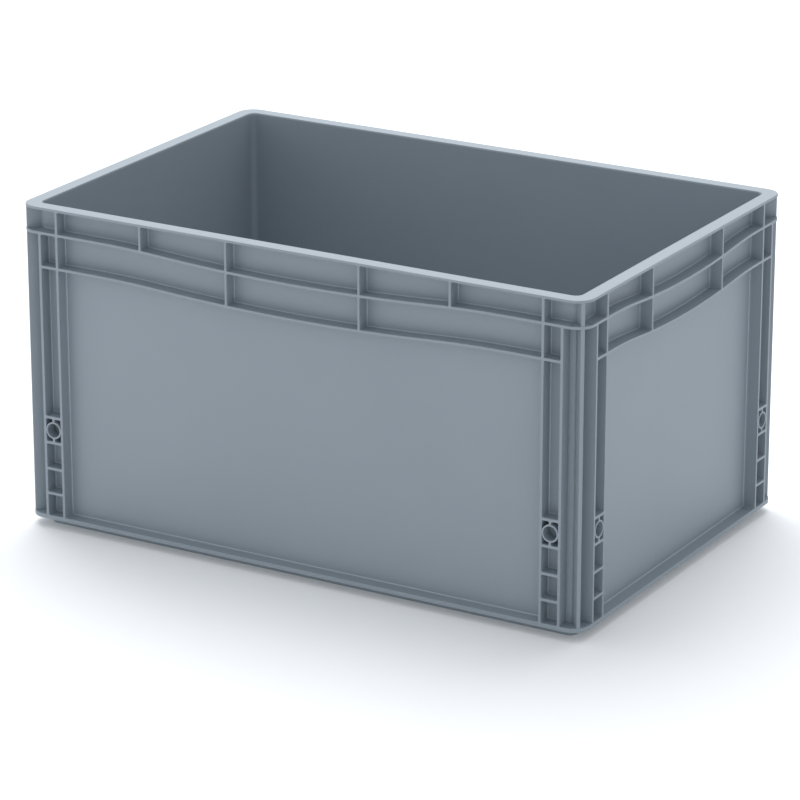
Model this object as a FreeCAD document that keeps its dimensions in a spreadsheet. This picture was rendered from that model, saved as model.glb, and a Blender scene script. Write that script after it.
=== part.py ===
import FreeCAD, Part
import math
import os
import Sketcher
from FreeCAD import Placement, Rotation, Vector

# A stacking container with open top, moulded in one piece: a thin-walled tub with a flat rim,
# a base flange and, between them, a lattice of ribs. Long sides face -Y and +Y, short sides
# -X and +X. The origin is the middle of the footprint, on the surface that the foot stands on.

doc = FreeCAD.newDocument("stacking_container")
sheet = doc.addObject("Spreadsheet::Sheet", "Sizes")

SIZES = [
    ("length", 600.0, "outside, along X"),
    ("width", 400.0, "outside, along Y"),
    ("height", 320.0, "from the foot to the top of the rim"),
    ("outer_radius", 17.0, "rounding of the rim, rings and flange at the corners"),
    ("rib_depth", 12.4, "from the outside faces of the ribs to the wall"),
    ("wall", 2.6, "thickness of the four walls"),
    ("floor_thickness", 3.2, "thickness of the floor"),
    ("inner_radius", 6.0, "upright corners inside the tub"),
    ("floor_fillet", 5.0, "rounding between the walls and the floor"),
    ("foot_height", 9.3, "the foot, below the floor and the flange"),
    ("foot_inset", 15.0, "from the outside faces to the foot"),
    ("foot_radius", 8.0, "upright corners of the foot"),
    ("flange_thickness", 4.2, "the flange round the base"),
    ("rim_thickness", 2.5, "the flat rim"),
    ("lead_width", 1.2, "lead-in at the inside of the rim, inwards"),
    ("lead_drop", 1.9, "lead-in at the inside of the rim, downwards"),
    ("rim_round", 0.8, "rounding of the rim's outer top edge"),
    ("root_fillet", 1.5, "rounding round the four large panels"),
    ("ring_thickness", 2.65, "the two rings that run round the tub"),
    ("upper_ring", 296.2, "top of the upper ring at the corners"),
    ("ring_gap", 32.9, "from the top of one ring to the top of the other"),
    ("sag", 7.0, "how far the rings dip in the middle of a side"),
    ("long_reach", 217.0, "where the dip begins on a long side, from the middle"),
    ("short_reach", 146.0, "where the dip begins on a short side, from the middle"),
    ("ladder_outer", 23.05, "middle of a ladder's outer upright, from the corner"),
    ("ladder_inner", 42.1, "middle of a ladder's inner upright, from the corner"),
    ("upright", 2.7, "thickness of the ladders' uprights"),
    ("rung", 2.7, "thickness of the ladders' rungs"),
    ("rung_one", 36.0, "middle of the lowest rung"),
    ("rung_two", 61.1, "middle of the second rung"),
    ("rung_three", 87.6, "middle of the rung under the boss"),
    ("rung_four", 113.0, "middle of the rung over the boss"),
    ("boss_bore", 13.5, "bore of the round bosses"),
    ("boss_wall", 1.75, "wall of the round bosses"),
    ("boss_web", 2.3, "webs between a boss and its rungs"),
    ("corner_rib", 3.4, "thickness of the diagonal ribs"),
    ("corner_inset", 0.4, "the diagonal ribs, short of the outer rounding"),
    ("tie_rib", 2.4, "thickness of the ribs that tie the rings to the rim"),
    ("tie_inner", 70.6, "ribs through both rows, from the middle of a side"),
    ("tie_outer", 164.4, "ribs of the upper row of a long side, from its middle"),
    ("foot_wall", 4.0, "thickness of the foot's outline"),
    ("grid_rib", 2.4, "thickness of the ribs under the floor"),
    ("grid_drop", 3.0, "from the foot's underside up to the ribs inside it"),
]
GRID_COLUMNS = 6
GRID_ROWS = 4

for row, (alias, value, note) in enumerate(SIZES, start=1):
    sheet.set("A%d" % row, alias)
    sheet.set("B%d" % row, str(value))
    sheet.set("C%d" % row, note)
    sheet.setAlias("B%d" % row, alias)
doc.recompute()

body = doc.addObject("PartDesign::Body", "Container")
body.Label = "container"
body.Placement = Placement(Vector(0, 0, 0), Rotation())
doc.recompute()

# Expressions that several features share
HALF_X = "(Sizes.length / 2)"
HALF_Y = "(Sizes.width / 2)"
WALL_X = "(Sizes.length / 2 - Sizes.rib_depth)"
WALL_Y = "(Sizes.width / 2 - Sizes.rib_depth)"
SUNK_X = "(Sizes.length / 2 - Sizes.rib_depth - Sizes.wall / 2)"
SUNK_Y = "(Sizes.width / 2 - Sizes.rib_depth - Sizes.wall / 2)"
FLANGE_TOP = "(Sizes.foot_height + Sizes.flange_thickness)"
RIM_UNDER = "(Sizes.height - Sizes.rim_thickness)"
LOWER_RING = "(Sizes.upper_ring - Sizes.ring_gap)"
RUNGS = ("rung_one", "rung_two", "rung_three", "rung_four")
BEND = 2.0 / 3.0        # share of a dip's reach that is hollow; the rest is the crest beside it


def value(expression):
    """The number that an expression stands for."""
    result = sheet.evalExpression(expression)
    return float(getattr(result, "Value", result))


def sketch_on(name, role, level):
    """A sketch on one of the body's origin planes, moved along its normal by an expression."""
    plane = next(p for p in body.Origin.OriginFeatures if p.Role == role)
    sketch = body.newObject("Sketcher::SketchObject", name)
    sketch.AttachmentSupport = [(plane, "")]
    sketch.MapMode = "FlatFace"
    sketch.setExpression("AttachmentOffset.Base.z", level)
    return sketch


def bind(sketch, rules):
    """Add constraints, each paired with the expression that drives it or with None."""
    indices = sketch.addConstraint([constraint for constraint, _ in rules])
    for index, (_, expression) in zip(indices, rules):
        if expression:
            sketch.setExpression("Constraints[%d]" % index, expression)


def at(geometry, end, across, up):
    """Rules that hold one point of a line, arc or circle at two distances from the origin."""
    return [
        (Sketcher.Constraint("DistanceX", -1, 1, geometry, end, value(across)), across),
        (Sketcher.Constraint("DistanceY", -1, 1, geometry, end, value(up)), up),
    ]


def outline(sketch, corners, radii=None):
    """A closed outline through corners, each a pair of expressions.

    radii maps the index of a side to (radius expression, +1 or -1): that side is an arc that
    bulges to the right (+1) or to the left (-1) of the way from its first corner to its next.
    """
    radii = radii or {}
    points = [Vector(value(x), value(y), 0) for x, y in corners]
    base = sketch.GeometryCount
    shapes = []
    ends = []
    rules = []
    for i, start in enumerate(points):
        end = points[(i + 1) % len(points)]
        radius, hand = radii.get(i, (None, 1))
        ends.append((1, 2) if hand > 0 else (2, 1))
        if radius is None:
            shapes.append(Part.LineSegment(start, end))
        else:
            shapes.append(arc(start, end, value(radius), hand))
            rules.append((Sketcher.Constraint("Radius", base + i, value(radius)), radius))
    sketch.addGeometry(shapes, False)
    for i, (first, last) in enumerate(ends):
        following = (i + 1) % len(ends)
        joined = Sketcher.Constraint("Coincident", base + i, last, base + following, ends[following][0])
        rules.append((joined, None))
        rules.extend(at(base + i, first, *corners[i]))
    bind(sketch, rules)


def arc(start, end, radius, hand):
    chord = end - start
    middle = (start + end) * 0.5
    side = Vector(chord.y, -chord.x, 0).normalize() * hand
    rise = radius - math.sqrt(radius ** 2 - (chord.Length / 2) ** 2)
    return Part.Arc(start, middle + side * rise, end)


def rectangle(sketch, left, low, right, high):
    outline(sketch, [(left, low), (right, low), (right, high), (left, high)])


def rounded_rectangle(sketch, half_x, half_y, radius):
    """An outline centred on the origin with four round corners."""
    inner_x = "(%s - %s)" % (half_x, radius)
    inner_y = "(%s - %s)" % (half_y, radius)
    corners = [
        ("-" + inner_x, "-" + half_y), (inner_x, "-" + half_y),
        (half_x, "-" + inner_y), (half_x, inner_y),
        (inner_x, half_y), ("-" + inner_x, half_y),
        ("-" + half_x, inner_y), ("-" + half_x, "-" + inner_y),
    ]
    outline(sketch, corners, {i: (radius, 1) for i in (1, 3, 5, 7)})


def grow(name, sketch, length, reverse=False):
    """Add a sketch's outline to the body, extruded by an expression."""
    return extrude("Pad", name, sketch, length, reverse)


def cut(name, sketch, length, reverse=False):
    """Take a sketch's outline out of the body, to a depth that an expression gives."""
    return extrude("Pocket", name, sketch, length, reverse)


def extrude(kind, name, sketch, length, reverse):
    feature = body.newObject("PartDesign::" + kind, name)
    feature.Profile = sketch
    feature.setExpression("Length", length)
    feature.Reversed = reverse
    return feature


def plate(name, half_x, half_y, radius, low, thickness):
    sketch = sketch_on(name + "Outline", "XY_Plane", low)
    rounded_rectangle(sketch, half_x, half_y, radius)
    return grow(name, sketch, thickness)


def four_corners():
    """Signs that carry a feature to each corner."""
    return [(sx, sy) for sx in ("", "-") for sy in ("", "-")]


def signed_box(sketch, sx, sy, x0, y0, x1, y1):
    """A rectangle whose expressions are all taken to the side that the signs name."""
    outline(sketch, [(sx + x0, sy + y0), (sx + x1, sy + y0), (sx + x1, sy + y1), (sx + x0, sy + y1)])


# The tub, its flange and its rim
def make_tub():
    core_radius = "(Sizes.inner_radius + Sizes.wall)"
    plate("Core", WALL_X, WALL_Y, core_radius, "Sizes.foot_height", "Sizes.height - Sizes.foot_height")
    plate("Flange", HALF_X, HALF_Y, "Sizes.outer_radius", "Sizes.foot_height", "Sizes.flange_thickness")
    plate("Rim", HALF_X, HALF_Y, "Sizes.outer_radius", RIM_UNDER, "Sizes.rim_thickness")
    foot = "(%s - Sizes.foot_inset)"
    plate("Foot", foot % HALF_X, foot % HALF_Y, "Sizes.foot_radius", "0", "Sizes.foot_height")


# One ring round the tub: flat plates at the corners, dipping bands along the sides
def ring_band(sketch, half, reach, top):
    """Outline of a band seen square on: level ends, crests and a hollow in the middle."""
    bend = "(%s * %.10f)" % (reach, BEND)
    hollow = "(Sizes.sag * %.10f)" % BEND
    crest = "(Sizes.sag * %.10f)" % (1 - BEND)
    crest_run = "(%s - %s)" % (reach, bend)
    wide = "((%s ^ 2 + %s ^ 2) / (2 * %s))" % (bend, hollow, hollow)
    tight = "((%s ^ 2 + %s ^ 2) / (2 * %s))" % (crest_run, crest, crest)
    under = "(%s - Sizes.ring_thickness)" % top
    joint = "(%s - %s)"
    corners = [
        ("-" + half, top), ("-" + half, under), ("-" + reach, under), ("-" + bend, joint % (under, crest)),
        (bend, joint % (under, crest)), (reach, under), (half, under), (half, top),
        (reach, top), (bend, joint % (top, crest)), ("-" + bend, joint % (top, crest)), ("-" + reach, top),
    ]
    radii = {2: (tight, -1), 3: (wide, 1), 4: (tight, -1), 8: (tight, 1), 9: (wide, -1), 10: (tight, 1)}
    outline(sketch, corners, radii)


# What is seen square on from a long or a short side is drawn once and extruded right across,
# because the inside of the tub is cut out afterwards
ACROSS = (
    ("Long", "XZ_Plane", HALF_Y, "Sizes.width", HALF_X, "Sizes.long_reach"),
    ("Short", "YZ_Plane", HALF_X, "Sizes.length", HALF_Y, "Sizes.short_reach"),
)


def make_rings():
    for name, plane, level, span, half, reach in ACROSS:
        rings = sketch_on(name + "RingsOutline", plane, "-" + level)
        ring_band(rings, "(%s - Sizes.outer_radius)" % half, reach, "Sizes.upper_ring")
        ring_band(rings, "(%s - Sizes.ladder_outer)" % half, reach, LOWER_RING)
        grow(name + "Rings", rings, span)
    turns = sketch_on("RingTurnsOutline", "XY_Plane", "Sizes.upper_ring - Sizes.ring_thickness")
    for sx, sy in four_corners():
        ring_turn(turns, sx, sy)
    grow("RingTurns", turns, "Sizes.ring_thickness")


def ring_turn(sketch, sx, sy):
    """The flat, rounded piece of ring at one corner, from above."""
    start_x = "(%s - Sizes.outer_radius)" % HALF_X
    start_y = "(%s - Sizes.outer_radius)" % HALF_Y
    corners = [
        (sx + start_x, sy + HALF_Y), (sx + HALF_X, sy + start_y),
        (sx + SUNK_X, sy + start_y), (sx + start_x, sy + SUNK_Y),
    ]
    hand = -1 if sx == sy else 1
    outline(sketch, corners, {0: ("Sizes.outer_radius", hand)})


# The upright ribs, drawn from above
def upright_boxes(sketch, offset, thickness, long_sides=True, short_sides=True):
    """Ribs at plus and minus an offset from the middle of the sides."""
    half = "%s / 2" % thickness
    for sx, sy in four_corners():
        if long_sides:
            x = offset[0]
            signed_box(sketch, sx, sy, "(%s - %s)" % (x, half), SUNK_Y, "(%s + %s)" % (x, half), HALF_Y)
        if short_sides:
            y = offset[1]
            signed_box(sketch, sx, sy, SUNK_X, "(%s - %s)" % (y, half), HALF_X, "(%s + %s)" % (y, half))


def dip(offset, reach, top):
    """Height of a ring's top at an offset inside its hollow, as an expression."""
    bend = "(%s * %.10f)" % (reach, BEND)
    hollow = "(Sizes.sag * %.10f)" % BEND
    wide = "((%s ^ 2 + %s ^ 2) / (2 * %s))" % (bend, hollow, hollow)
    return "(%s - Sizes.sag + %s - sqrt(%s ^ 2 - %s ^ 2))" % (top, wide, wide, offset)


def crest(offset, reach, top):
    """Height of a ring's top at an offset on the crest beside the hollow."""
    run = "(%s * %.10f)" % (reach, 1 - BEND)
    drop = "(Sizes.sag * %.10f)" % (1 - BEND)
    tight = "((%s ^ 2 + %s ^ 2) / (2 * %s))" % (run, drop, drop)
    return "(%s - %s + sqrt(%s ^ 2 - (%s - %s) ^ 2))" % (top, tight, tight, reach, offset)


def make_uprights():
    span = "(%s - %s)"
    for name, key, top in (("InnerUprights", "ladder_inner", RIM_UNDER),
                           ("OuterUprights", "ladder_outer", "(Sizes.upper_ring - Sizes.ring_thickness)")):
        low = "(%s - Sizes.flange_thickness / 2)" % FLANGE_TOP
        high = "(%s + Sizes.ring_thickness / 4)" % top
        sketch = sketch_on(name + "Outline", "XY_Plane", low)
        places = (span % (HALF_X, "Sizes." + key), span % (HALF_Y, "Sizes." + key))
        upright_boxes(sketch, places, "Sizes.upright")
        grow(name, sketch, span % (high, low))
    ties = (
        ("LongTies", "Sizes.tie_inner", True, dip("Sizes.tie_inner", "Sizes.long_reach", LOWER_RING)),
        ("ShortTies", "Sizes.tie_inner", False, dip("Sizes.tie_inner", "Sizes.short_reach", LOWER_RING)),
        ("UpperTies", "Sizes.tie_outer", True, crest("Sizes.tie_outer", "Sizes.long_reach", "Sizes.upper_ring")),
    )
    for name, offset, on_long, ring_top in ties:
        low = "(%s - Sizes.ring_thickness / 2)" % ring_top
        high = "(%s + Sizes.rim_thickness / 4)" % RIM_UNDER
        sketch = sketch_on(name + "Outline", "XY_Plane", low)
        upright_boxes(sketch, (offset, offset), "Sizes.tie_rib", on_long, not on_long)
        grow(name, sketch, span % (high, low))


# The rungs and bosses of the ladders, seen square on
def make_ladders():
    for name, plane, level, span, half, _ in ACROSS:
        rungs = sketch_on(name + "RungsOutline", plane, "-" + level)
        webs = sketch_on(name + "WebsOutline", plane, "-" + level)
        for sign in ("", "-"):
            inner = "%s(%s - Sizes.ladder_inner)" % (sign, half)
            outer = "%s(%s - Sizes.ladder_outer)" % (sign, half)
            centre = "%s(%s - (Sizes.ladder_inner + Sizes.ladder_outer) / 2)" % (sign, half)
            for key in RUNGS:
                low = "(Sizes.%s - Sizes.rung / 2)" % key
                high = "(Sizes.%s + Sizes.rung / 2)" % key
                rectangle(rungs, inner, low, outer, high)
            boss(rungs, centre)
            boss_webs(webs, centre)
        grow(name + "Rungs", rungs, span)
        grow(name + "Webs", webs, span)


BOSS_LEVEL = "((Sizes.rung_three + Sizes.rung_four) / 2)"


def boss(sketch, centre):
    """Two circles: a round tube that stands out from the wall between two rungs."""
    for radius in ("(Sizes.boss_bore / 2)", "(Sizes.boss_bore / 2 + Sizes.boss_wall)"):
        place = Vector(value(centre), value(BOSS_LEVEL), 0)
        circle = sketch.addGeometry(Part.Circle(place, Vector(0, 0, 1), value(radius)), False)
        radius_rule = (Sketcher.Constraint("Radius", circle, value(radius)), radius)
        bind(sketch, at(circle, 3, centre, BOSS_LEVEL) + [radius_rule])


def boss_webs(sketch, centre):
    """A short web from the boss up to one rung and down to the other."""
    reach = "(Sizes.boss_bore / 2 + Sizes.boss_wall / 2)"
    left = "(%s - Sizes.boss_web / 2)" % centre
    right = "(%s + Sizes.boss_web / 2)" % centre
    rectangle(sketch, left, "(%s + %s)" % (BOSS_LEVEL, reach), right, "Sizes.rung_four")
    rectangle(sketch, left, "Sizes.rung_three", right, "(%s - %s)" % (BOSS_LEVEL, reach))


# The diagonal ribs, one at each corner from the flange to the rim
def make_corner_ribs():
    low = "(%s - Sizes.flange_thickness / 2)" % FLANGE_TOP
    high = "(%s + Sizes.rim_thickness / 4)" % RIM_UNDER
    sketch = sketch_on("CornerRibsOutline", "XY_Plane", low)
    slant = "(sqrt(2) / 2)"
    skew = "(Sizes.corner_rib / 2 * %s)" % slant
    tip = "(%%s - Sizes.outer_radius + (Sizes.outer_radius - Sizes.corner_inset) * %s)" % slant
    root = "(%%s - Sizes.wall - Sizes.inner_radius + (Sizes.inner_radius + Sizes.wall / 2) * %s)" % slant
    for sx, sy in four_corners():
        ends = ((root % WALL_X, root % WALL_Y), (tip % HALF_X, tip % HALF_Y))
        one_side = [(sx + "(%s - %s)" % (x, skew), sy + "(%s + %s)" % (y, skew)) for x, y in ends]
        other_side = [(sx + "(%s + %s)" % (x, skew), sy + "(%s - %s)" % (y, skew)) for x, y in ends]
        outline(sketch, one_side + other_side[::-1])
    grow("CornerRibs", sketch, "(%s - %s)" % (high, low))


# The inside of the tub
def make_inside():
    inside = sketch_on("InsideOutline", "XY_Plane", "Sizes.height")
    rounded_rectangle(inside, "(%s - Sizes.wall)" % WALL_X, "(%s - Sizes.wall)" % WALL_Y, "Sizes.inner_radius")
    cut("Inside", inside, "Sizes.height - Sizes.foot_height - Sizes.floor_thickness")


# The underside: an outline foot with a shallower grid of ribs inside it
def make_underside():
    hollow = sketch_on("UndersideOutline", "XY_Plane", "0")
    inner = "(%s - Sizes.foot_inset - Sizes.foot_wall)"
    inner_radius = "(Sizes.foot_radius - Sizes.foot_wall)"
    rounded_rectangle(hollow, inner % HALF_X, inner % HALF_Y, inner_radius)
    cut("Underside", hollow, "Sizes.foot_height", True)
    grid = sketch_on("GridOutline", "XY_Plane", "Sizes.grid_drop")
    reach_x = "(%s - Sizes.foot_inset - Sizes.foot_wall / 2)" % HALF_X
    reach_y = "(%s - Sizes.foot_inset - Sizes.foot_wall / 2)" % HALF_Y
    for i in range(1, GRID_COLUMNS):
        middle = "(%s * %.10f)" % (reach_x, 2.0 * i / GRID_COLUMNS - 1)
        rectangle(grid, "(%s - Sizes.grid_rib / 2)" % middle, "-" + reach_y,
                  "(%s + Sizes.grid_rib / 2)" % middle, reach_y)
    grow("GridAcross", grid, "Sizes.foot_height - Sizes.grid_drop + Sizes.floor_thickness / 2")
    along = sketch_on("GridAlongOutline", "XY_Plane", "Sizes.grid_drop")
    for i in range(1, GRID_ROWS):
        middle = "(%s * %.10f)" % (reach_y, 2.0 * i / GRID_ROWS - 1)
        rectangle(along, "-" + reach_x, "(%s - Sizes.grid_rib / 2)" % middle,
                  reach_x, "(%s + Sizes.grid_rib / 2)" % middle)
    grow("GridAlong", along, "Sizes.foot_height - Sizes.grid_drop + Sizes.floor_thickness / 2")


# Soft edges
def edges_where(test):
    """Names of the body's edges whose ends and middle all pass a test."""
    names = []
    for number, edge in enumerate(body.Shape.Edges, start=1):
        span = edge.LastParameter - edge.FirstParameter
        if test([edge.valueAt(edge.FirstParameter + span * k / 2) for k in range(3)]):
            names.append("Edge%d" % number)
    return names


def near(a, b):
    return abs(a - b) < 0.01


def past_rectangle(p, half_x, half_y, radius):
    """How far a point lies outside a rounded rectangle centred on the origin, seen from above."""
    x = abs(p.x) - half_x + radius
    y = abs(p.y) - half_y + radius
    if x > 0 and y > 0:
        return math.hypot(x, y) - radius
    return max(x, y) - radius


def dress(kind, name, edges, **sizes):
    """A fillet or chamfer on edges that were found by place, with its sizes bound."""
    base = body.Tip
    feature = body.newObject("PartDesign::" + kind, name)
    feature.Base = (base, edges)
    if "Size2" in sizes:
        feature.ChamferType = "Two distances"
    for size, expression in sizes.items():
        feature.setExpression(size, expression)
    doc.recompute()


def edges_round(points):
    """Names of the edges round the faces that hold the given points."""
    names = []
    for point in points:
        face = min(body.Shape.Faces, key=lambda f: f.distToShape(Part.Vertex(point))[0])
        for number, edge in enumerate(body.Shape.Edges, start=1):
            if any(edge.isSame(own) for own in face.Edges):
                names.append("Edge%d" % number)
    return names


def soften():
    doc.recompute()
    wall_x, wall_y, middle = value(WALL_X), value(WALL_Y), value("Sizes.height / 2")
    panels = [Vector(0, side * wall_y, middle) for side in (-1, 1)]
    panels += [Vector(side * wall_x, 0, middle) for side in (-1, 1)]
    dress("Fillet", "PanelRoots", edges_round(panels), Radius="Sizes.root_fillet")
    floor = value("Sizes.foot_height + Sizes.floor_thickness")
    dress("Fillet", "FloorFillet", edges_where(lambda ps: all(near(p.z, floor) for p in ps)),
          Radius="Sizes.floor_fillet")
    dress("Chamfer", "LeadIn", rim_edges(0), Size="Sizes.lead_drop", Size2="Sizes.lead_width")
    dress("Fillet", "RimRound", rim_edges(value("Sizes.rib_depth + Sizes.wall")), Radius="Sizes.rim_round")


def rim_edges(outward):
    """The rim's top edges that lie this far outside the walls' inner faces."""
    top = value("Sizes.height")
    radius = value("Sizes.inner_radius" if outward == 0 else "Sizes.outer_radius")
    half_x = value(WALL_X) - value("Sizes.wall") + outward
    half_y = value(WALL_Y) - value("Sizes.wall") + outward
    return edges_where(lambda ps: all(
        near(p.z, top) and near(past_rectangle(p, half_x, half_y, radius), 0) for p in ps))


STEPS = (make_tub, make_rings, make_uprights, make_ladders, make_corner_ribs, make_inside, make_underside, soften)
for make in STEPS:
    make()


# Every feature has to compute, and each one has to add (1), remove (-1) or change (0) material
ADDS = {"PartDesign::Pad": 1, "PartDesign::Pocket": -1, "PartDesign::Chamfer": -1, "PartDesign::Fillet": 0}
volume = 0.0
for item in doc.Objects:
    if "Invalid" in item.State or "Error" in item.State:
        raise RuntimeError("%s is not computed: %s" % (item.Name, item.State))
    if item.TypeId in ADDS:
        change = item.Shape.Volume - volume
        if change == 0 or change * ADDS[item.TypeId] < 0:
            raise RuntimeError("%s changes the volume by %.1f" % (item.Name, change))
        volume = item.Shape.Volume
if body.Shape.isNull() or not body.Shape.isValid() or len(body.Shape.Solids) != 1:
    raise RuntimeError("the container is not one valid solid")
print("container: %.0f cubic mm, %d faces" % (body.Shape.Volume, len(body.Shape.Faces)))

os.makedirs("parts", exist_ok=True)
body.Shape.exportStep("parts/%s.step" % body.Label)
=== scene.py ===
import math

import bmesh
import bpy
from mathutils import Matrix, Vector


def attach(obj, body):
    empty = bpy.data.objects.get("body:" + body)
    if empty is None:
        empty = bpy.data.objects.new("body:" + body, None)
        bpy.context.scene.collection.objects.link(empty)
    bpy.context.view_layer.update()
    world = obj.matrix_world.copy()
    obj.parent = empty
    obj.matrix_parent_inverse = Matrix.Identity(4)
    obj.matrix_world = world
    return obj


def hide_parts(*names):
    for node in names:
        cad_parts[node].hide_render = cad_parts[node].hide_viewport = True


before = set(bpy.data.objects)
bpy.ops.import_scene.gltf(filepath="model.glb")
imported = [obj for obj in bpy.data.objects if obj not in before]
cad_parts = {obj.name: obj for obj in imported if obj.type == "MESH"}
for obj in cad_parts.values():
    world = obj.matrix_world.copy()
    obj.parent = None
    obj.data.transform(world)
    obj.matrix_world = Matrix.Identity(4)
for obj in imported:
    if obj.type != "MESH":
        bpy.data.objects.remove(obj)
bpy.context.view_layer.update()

# Lengths are in metres. Edge roundings: in the roots of the ribs, on the outer edges, and on
# those at the corners, where the diagonal ribs end close to them
ROOT_ROUND = 0.0013
EDGE_ROUND = 0.00035
CORNER_ROUND = 0.00012
ROOM_SHARE = 0.45               # how much of the room beside an edge its rounding may take
CROSSING = 0.5                  # least sine of the angle at which another edge ends that room
SHARP = math.radians(35)        # edges that bend less are not rounded
FLAT = math.radians(0.1)        # faces that bend less against each other are merged
SAME_POINT = 1e-6
SHADING_WEIGHT = 80             # how strongly the larger faces set the shading (50 is neutral)

# Where edges stay sharp: at the corners, round the bosses, at the mitres of the solid's own
# fillets and below the flange
CORNER = (0.2778, 0.1778)       # where a corner begins, along X and along Y
BOSS_ALONG = (0.2674, 0.1674)   # the bosses' middles, along X and along Y
BOSS_LEVEL = 0.1003
BOSS_REACH = 0.0112             # to every side of a boss's middle
MITRE = 0.0025                  # the longest mitre
MITRE_BEND = math.radians(80)   # and its sharpest bend
FLANGE_UNDER = 0.0094           # just above the flange's underside

# The painted highlight: a fine light line painted into the colour beside the walls' outer faces,
# in the roots of the cells
WALL_AT = (0.2876, 0.1876)      # where these faces lie, along X and along Y
HIGHLIGHT_RISE = 0.0006              # how far out from them the painted highlight reaches
HIGHLIGHT_FACING = (0.89, 0.10)      # how squarely its surface faces outwards: a cosine, give or take

# The plastic: its faint clouds run between two greys, and the painted highlight line is lighter
DARKER_GREY = (0.262, 0.306, 0.345, 1)
LIGHTER_GREY = (0.282, 0.328, 0.368, 1)
# painted highlight: a lighter grey for the root line, standing in for light caught by the
# fillets
PAINTED_HIGHLIGHT_GREY = (0.40, 0.46, 0.51, 1)
ROUGHNESS = (0.42, 0.52)
PLASTIC_IOR = 1.49

# The studio
FLOOR_REACH = 9
FLOOR_COLOUR = (0.86, 0.87, 0.88, 1)
FLOOR_ROUGHNESS = 0.9
FLOOR_GLOW = 0.1
SURROUND_COLOUR = (0.93, 0.96, 1, 1)
SURROUND_STRENGTH = 0.69

# The camera, fitted to the photograph's corners: its direction, its distance from a target, how
# far it lies left of the line to the target and below it, and its focal length in pixels
AZIMUTH = math.radians(30.38)
ELEVATION = math.radians(19.27)
TARGET = (0, 0, 0.16)
DISTANCE = 3.8078
TO_THE_LEFT = 0.00295
DOWNWARDS = 0.03948
FOCAL_PIXELS = 3995.6
PICTURE_PIXELS = 800
SENSOR_MM = 36.0


def welded(node):
    """The node's mesh as a bmesh, welded and with its flat faces merged."""
    shape = bmesh.new()
    shape.from_mesh(bpy.data.objects[node].data)
    bmesh.ops.remove_doubles(shape, verts=shape.verts, dist=SAME_POINT)
    bmesh.ops.dissolve_limit(shape, angle_limit=FLAT, verts=shape.verts, edges=shape.edges)
    # A face of many corners could overlap itself once its edges are rounded
    bmesh.ops.triangulate(shape, faces=[face for face in shape.faces if len(face.verts) > 4])
    bmesh.ops.join_triangles(shape, faces=[face for face in shape.faces if len(face.verts) == 3],
                             angle_face_threshold=FLAT, angle_shape_threshold=math.pi)
    return shape


def room(edge, at, face):
    """How far an edge can be rounded into a face at one of its ends."""
    along = (edge.other_vert(at).co - at.co).normalized()
    for beside in at.link_edges:
        if beside is edge or face not in beside.link_faces:
            continue
        away = beside.other_vert(at).co - at.co
        across = (away - along * away.dot(along)).length
        if across > CROSSING * away.length:
            return ROOM_SHARE * across
    return ROOT_ROUND


def at_corner(point):
    """Whether a point lies at one of the container's corners, above the flange's underside."""
    return abs(point.x) > CORNER[0] and abs(point.y) > CORNER[1] and point.z > FLANGE_UNDER


def at_boss(point):
    """Whether a point lies in or close round one of the bosses."""
    beside = min(abs(abs(point.x) - BOSS_ALONG[0]), abs(abs(point.y) - BOSS_ALONG[1]))
    return beside < BOSS_REACH and abs(point.z - BOSS_LEVEL) < BOSS_REACH


def is_mitre(edge):
    """Whether an edge is the short mitre between two fillets that the solid already has."""
    return edge.calc_length() < MITRE and -MITRE_BEND < edge.calc_face_angle_signed(0) < -SHARP


def stays_sharp(edge, angle):
    """Whether an edge lies where there is no room for a rounding, or where none is seen."""
    ends = [at.co for at in edge.verts]
    in_corner = all(at_corner(end) for end in ends)
    if angle > 0:
        return in_corner and (ends[0] - ends[1]).xy.length < SAME_POINT
    at_mitre = any(is_mitre(beside) for at in edge.verts for beside in at.link_edges)
    under_floor = all(end.z < FLANGE_UNDER for end in ends)
    return in_corner or at_mitre or under_floor or any(at_boss(end) for end in ends)


def rounding(edge, angle):
    """The size of an edge's rounding: as its place and bend ask, or less where room is short."""
    size = ROOT_ROUND
    if angle > 0:
        size = CORNER_ROUND if all(at_corner(at.co) for at in edge.verts) else EDGE_ROUND
    rooms = [room(edge, at, face) for at in edge.verts for face in edge.link_faces]
    return min([size] + rooms)


def add_rounding(piece):
    """The modifiers that round the weighted edges and shade the faces evenly."""
    bevel = piece.modifiers.new("Rounding", "BEVEL")
    bevel.limit_method = "WEIGHT"
    bevel.width = ROOT_ROUND
    bevel.segments = 2
    bevel.use_clamp_overlap = False
    bevel.loop_slide = False
    shading = piece.modifiers.new("Shading", "WEIGHTED_NORMAL")
    shading.mode = "FACE_AREA"
    shading.weight = SHADING_WEIGHT
    shading.keep_sharp = True


def softened(node):
    """A copy of a node with rounded edges, which takes its place."""
    shape = welded(node)
    weights = shape.edges.layers.float.new("bevel_weight_edge")
    for face in shape.faces:
        face.smooth = True
    for edge in shape.edges:
        angle = edge.calc_face_angle_signed(0)
        if abs(angle) < SHARP:
            continue
        if stays_sharp(edge, angle):
            edge.smooth = False
        else:
            edge[weights] = rounding(edge, angle) / ROOT_ROUND
    mesh = bpy.data.meshes.new(node + "_moulded")
    shape.to_mesh(mesh)
    shape.free()
    piece = bpy.data.objects.new(node + "_moulded", mesh)
    bpy.context.scene.collection.objects.link(piece)
    add_rounding(piece)
    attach(piece, "root")
    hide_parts(node)
    return piece


def node_maker(tree):
    """Short calls for new nodes and links in a node tree."""
    def make(kind, **inputs):
        node = tree.nodes.new(kind)
        for name, setting in inputs.items():
            node.inputs[name.replace("_", " ")].default_value = setting
        return node
    return make, tree.links.new


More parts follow.
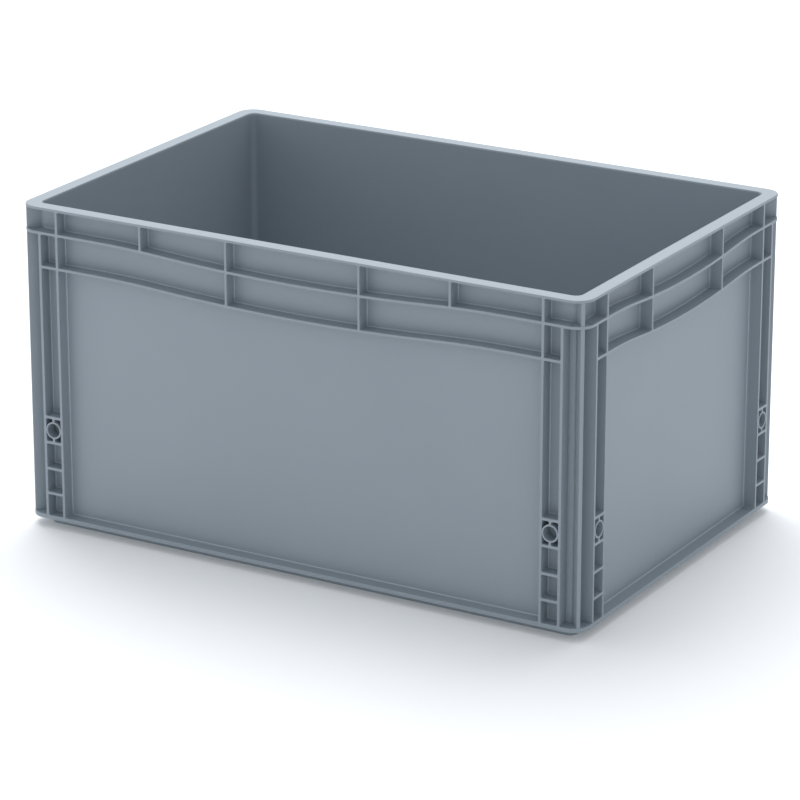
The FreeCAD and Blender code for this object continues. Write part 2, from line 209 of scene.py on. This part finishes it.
def painted_highlight_mask(make, link, place):
    """A mask for the painted highlight, a fine light line beside the walls' outer faces, on the
    outer half of each root.
    """
    def worked(kind, *inputs):
        """The output of a math node, whose inputs are numbers or other nodes' outputs."""
        node = make("ShaderNodeMath")
        node.operation = kind
        for socket, setting in zip(node.inputs, inputs):
            if isinstance(setting, float):
                socket.default_value = setting
            else:
                link(setting, socket)
        return node.outputs["Value"]

    parts = []
    for name in ("Position", "Normal"):
        split = make("ShaderNodeSeparateXYZ")
        link(place.outputs[name], split.inputs["Vector"])
        parts.append([worked("ABSOLUTE", split.outputs[axis]) for axis in ("X", "Y")])
    sides = []
    for wall, along, facing in zip(WALL_AT, *parts):
        close = worked("COMPARE", along, wall + HIGHLIGHT_RISE / 2, HIGHLIGHT_RISE / 2)
        turned = worked("COMPARE", facing, HIGHLIGHT_FACING[0], HIGHLIGHT_FACING[1])
        sides.append(worked("MULTIPLY", close, turned))
    return worked("MAXIMUM", *sides)


def plastic():
    """Smooth moulded polypropylene: mid grey, satin, with faint flow clouds, a fine grain and a
    painted highlight line in the roots.
    """
    material = bpy.data.materials.new("moulded_plastic")
    material.use_nodes = True
    tree = material.node_tree
    shader = tree.nodes["Principled BSDF"]
    make, link = node_maker(tree)
    place = make("ShaderNodeNewGeometry")
    clouds = make("ShaderNodeTexNoise", Scale=9.0, Detail=4.0, Roughness=0.55)
    link(place.outputs["Position"], clouds.inputs["Vector"])
    tint = make("ShaderNodeMix")
    tint.data_type = "RGBA"
    tint.inputs["A"].default_value = DARKER_GREY
    tint.inputs["B"].default_value = LIGHTER_GREY
    link(clouds.outputs["Fac"], tint.inputs["Factor"])
    # painted highlight: the line's mask mixes a lighter grey into the base colour
    highlight_mask = painted_highlight_mask(make, link, place)
    highlighted = make("ShaderNodeMix")
    highlighted.data_type = "RGBA"
    highlighted.inputs["B"].default_value = PAINTED_HIGHLIGHT_GREY
    link(highlight_mask, highlighted.inputs["Factor"])
    link(tint.outputs["Result"], highlighted.inputs["A"])
    link(highlighted.outputs["Result"], shader.inputs["Base Color"])
    grain = make("ShaderNodeTexNoise", Scale=900.0, Detail=3.0, Roughness=0.6)
    link(place.outputs["Position"], grain.inputs["Vector"])
    spread = make("ShaderNodeMapRange")
    spread.inputs["To Min"].default_value = ROUGHNESS[0]
    spread.inputs["To Max"].default_value = ROUGHNESS[1]
    link(grain.outputs["Fac"], spread.inputs["Value"])
    link(spread.outputs["Result"], shader.inputs["Roughness"])
    bump = make("ShaderNodeBump", Strength=0.12, Distance=0.0002)
    link(grain.outputs["Fac"], bump.inputs["Height"])
    link(bump.outputs["Normal"], shader.inputs["Normal"])
    shader.inputs["IOR"].default_value = PLASTIC_IOR
    return material


def area_light(name, place, aim, size, power):
    """A rectangular light at a place, turned to a point, with its two sizes and its watts."""
    data = bpy.data.lights.new(name, "AREA")
    data.shape = "RECTANGLE"
    data.size, data.size_y = size
    data.energy = power
    light = bpy.data.objects.new(name, data)
    bpy.context.scene.collection.objects.link(light)
    light.location = place
    light.rotation_mode = "QUATERNION"
    light.rotation_quaternion = (Vector(aim) - Vector(place)).to_track_quat("-Z", "Y")


def studio():
    """A pale floor, a pale surround and two large soft lights."""
    floor_mesh = bpy.data.meshes.new("floor")
    ends = (-FLOOR_REACH, FLOOR_REACH)
    corners = [(ends[0], ends[0], 0), (ends[1], ends[0], 0), (ends[1], ends[1], 0),
               (ends[0], ends[1], 0)]
    floor_mesh.from_pydata(corners, [], [(0, 1, 2, 3)])
    floor = bpy.data.objects.new("floor", floor_mesh)
    bpy.context.scene.collection.objects.link(floor)
    pale = bpy.data.materials.new("pale_floor")
    pale.use_nodes = True
    surface = pale.node_tree.nodes["Principled BSDF"]
    surface.inputs["Base Color"].default_value = FLOOR_COLOUR
    surface.inputs["Roughness"].default_value = FLOOR_ROUGHNESS
    surface.inputs["Emission Color"].default_value = (1, 1, 1, 1)
    surface.inputs["Emission Strength"].default_value = FLOOR_GLOW
    floor_mesh.materials.append(pale)

    world = bpy.data.worlds.new("surround")
    world.use_nodes = True
    world.node_tree.nodes["Background"].inputs["Color"].default_value = SURROUND_COLOUR
    world.node_tree.nodes["Background"].inputs["Strength"].default_value = SURROUND_STRENGTH
    bpy.context.scene.world = world
    area_light("top", place=(-0.9, 1.2, 2.8), aim=(0, 0, 0.1), size=(3.2, 3.2), power=111)
    area_light("front", place=(-2.3, -2.4, 1.2), aim=(0, 0, 0.15), size=(1.6, 1.6), power=5.5)
    bpy.context.scene.view_settings.view_transform = "Standard"


def camera():
    """The photograph's viewing angle, without roll or shift."""
    back = Vector((math.sin(AZIMUTH) * math.cos(ELEVATION),
                   -math.cos(AZIMUTH) * math.cos(ELEVATION), math.sin(ELEVATION)))
    right = Vector((math.cos(AZIMUTH), math.sin(AZIMUTH), 0))
    up = back.cross(right)
    data = bpy.data.cameras.new("camera")
    data.sensor_width = SENSOR_MM
    data.lens = FOCAL_PIXELS / PICTURE_PIXELS * SENSOR_MM
    view = bpy.data.objects.new("camera", data)
    bpy.context.scene.collection.objects.link(view)
    view.location = Vector(TARGET) + back * DISTANCE - right * TO_THE_LEFT - up * DOWNWARDS
    view.rotation_mode = "QUATERNION"
    view.rotation_quaternion = (-back).to_track_quat("-Z", "Y")
    bpy.context.scene.camera = view


container = softened("container")
container.data.materials.append(plastic())
studio()
camera()
